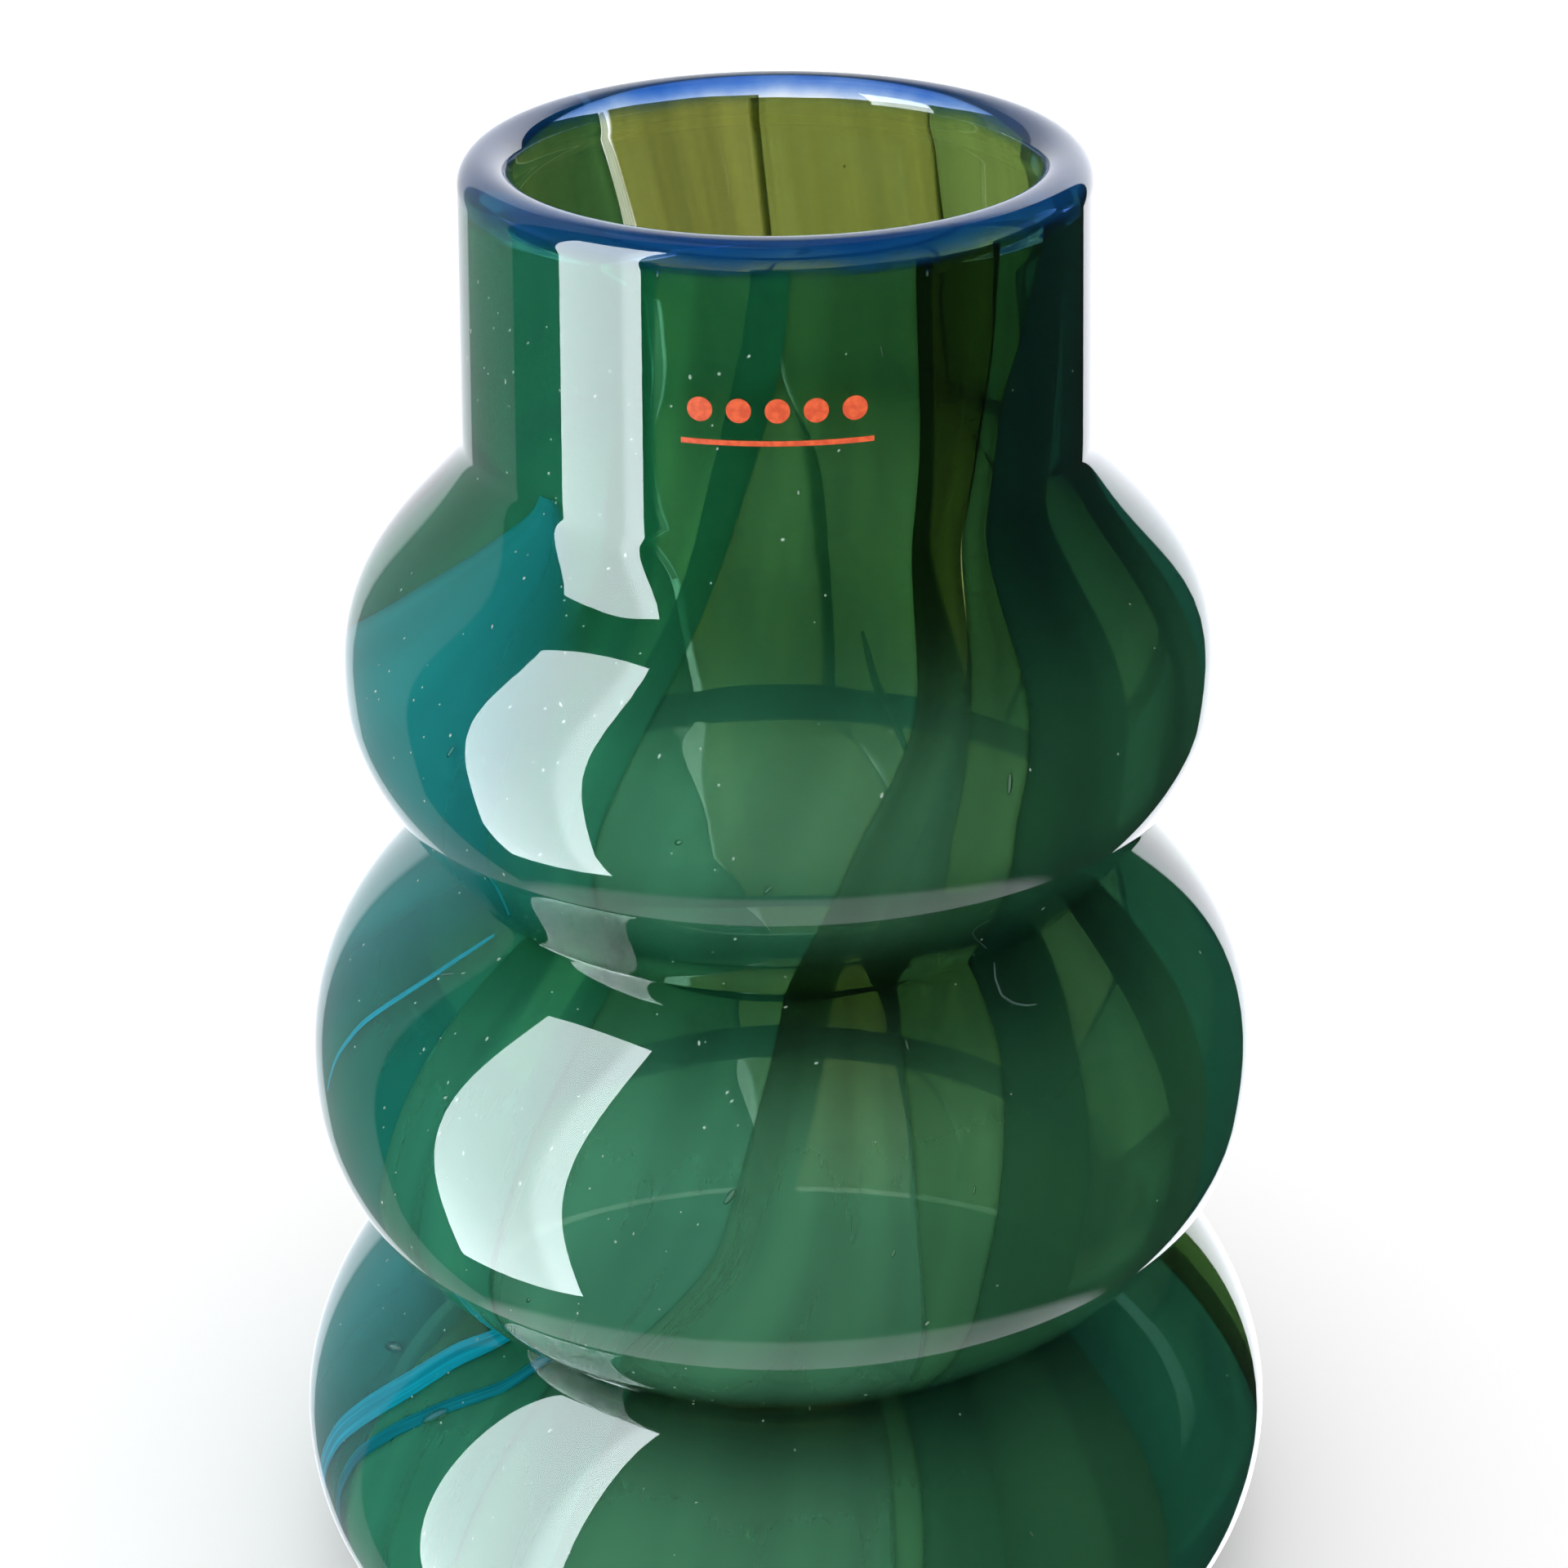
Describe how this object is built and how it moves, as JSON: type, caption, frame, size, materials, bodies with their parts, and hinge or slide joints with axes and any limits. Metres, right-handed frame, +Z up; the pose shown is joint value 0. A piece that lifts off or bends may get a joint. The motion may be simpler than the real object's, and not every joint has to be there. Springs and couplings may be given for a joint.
{
  "type": "art glass vase",
  "caption": "Hand blown vase with a straight neck over stacked round bulbs, clear-cased green, teal and olive veils and a cobalt blue band in the lip.",
  "frame": {"origin": "middle of the flat foot, on the surface that the vase stands on", "axes": "+Z up along the axis of turning, -Y towards the front, where the painted row is"},
  "size_m": [0.2354, 0.2354, 0.35],
  "materials": {
    "clear_glass": "clear, fire polished",
    "gather_glass": "pale olive, fire polished",
    "green_glass": "transparent green, streaked",
    "teal_glass": "transparent teal, streaked",
    "milky_turquoise_glass": "milky turquoise, streaked",
    "olive_glass": "transparent olive, streaked",
    "dark_green_glass": "deep bottle green, streaked",
    "cobalt_glass": "deep cobalt blue",
    "turquoise_glass": "bright turquoise cane",
    "pale_glass": "milky white cane",
    "orange_enamel": "fired enamel, slightly matt"
  },
  "bodies": {
    "root": {"back_amber_veil": "olive_glass", "back_forest_veil": "green_glass", "back_olive_veil": "olive_glass", "back_sea_veil": "teal_glass", "base_veil": "green_glass", "black_green_veil": "dark_green_glass", "bottle_green_veil": "dark_green_glass", "clear_casing": "clear_glass", "emerald_veil": "green_glass", "high_trail": "turquoise_glass", "inner_gather": "gather_glass", "lagoon_veil": "teal_glass", "leaf_green_veil": "green_glass", "lip_band": "cobalt_glass", "low_side_veil": "teal_glass", "low_trail": "turquoise_glass", "mid_side_veil": "teal_glass", "milky_turquoise_veil": "milky_turquoise_glass", "moss_veil": "olive_glass", "painted_dots": "orange_enamel", "pale_thread": "pale_glass", "teal_edge_veil": "teal_glass"}
  },
  "joints": []
}
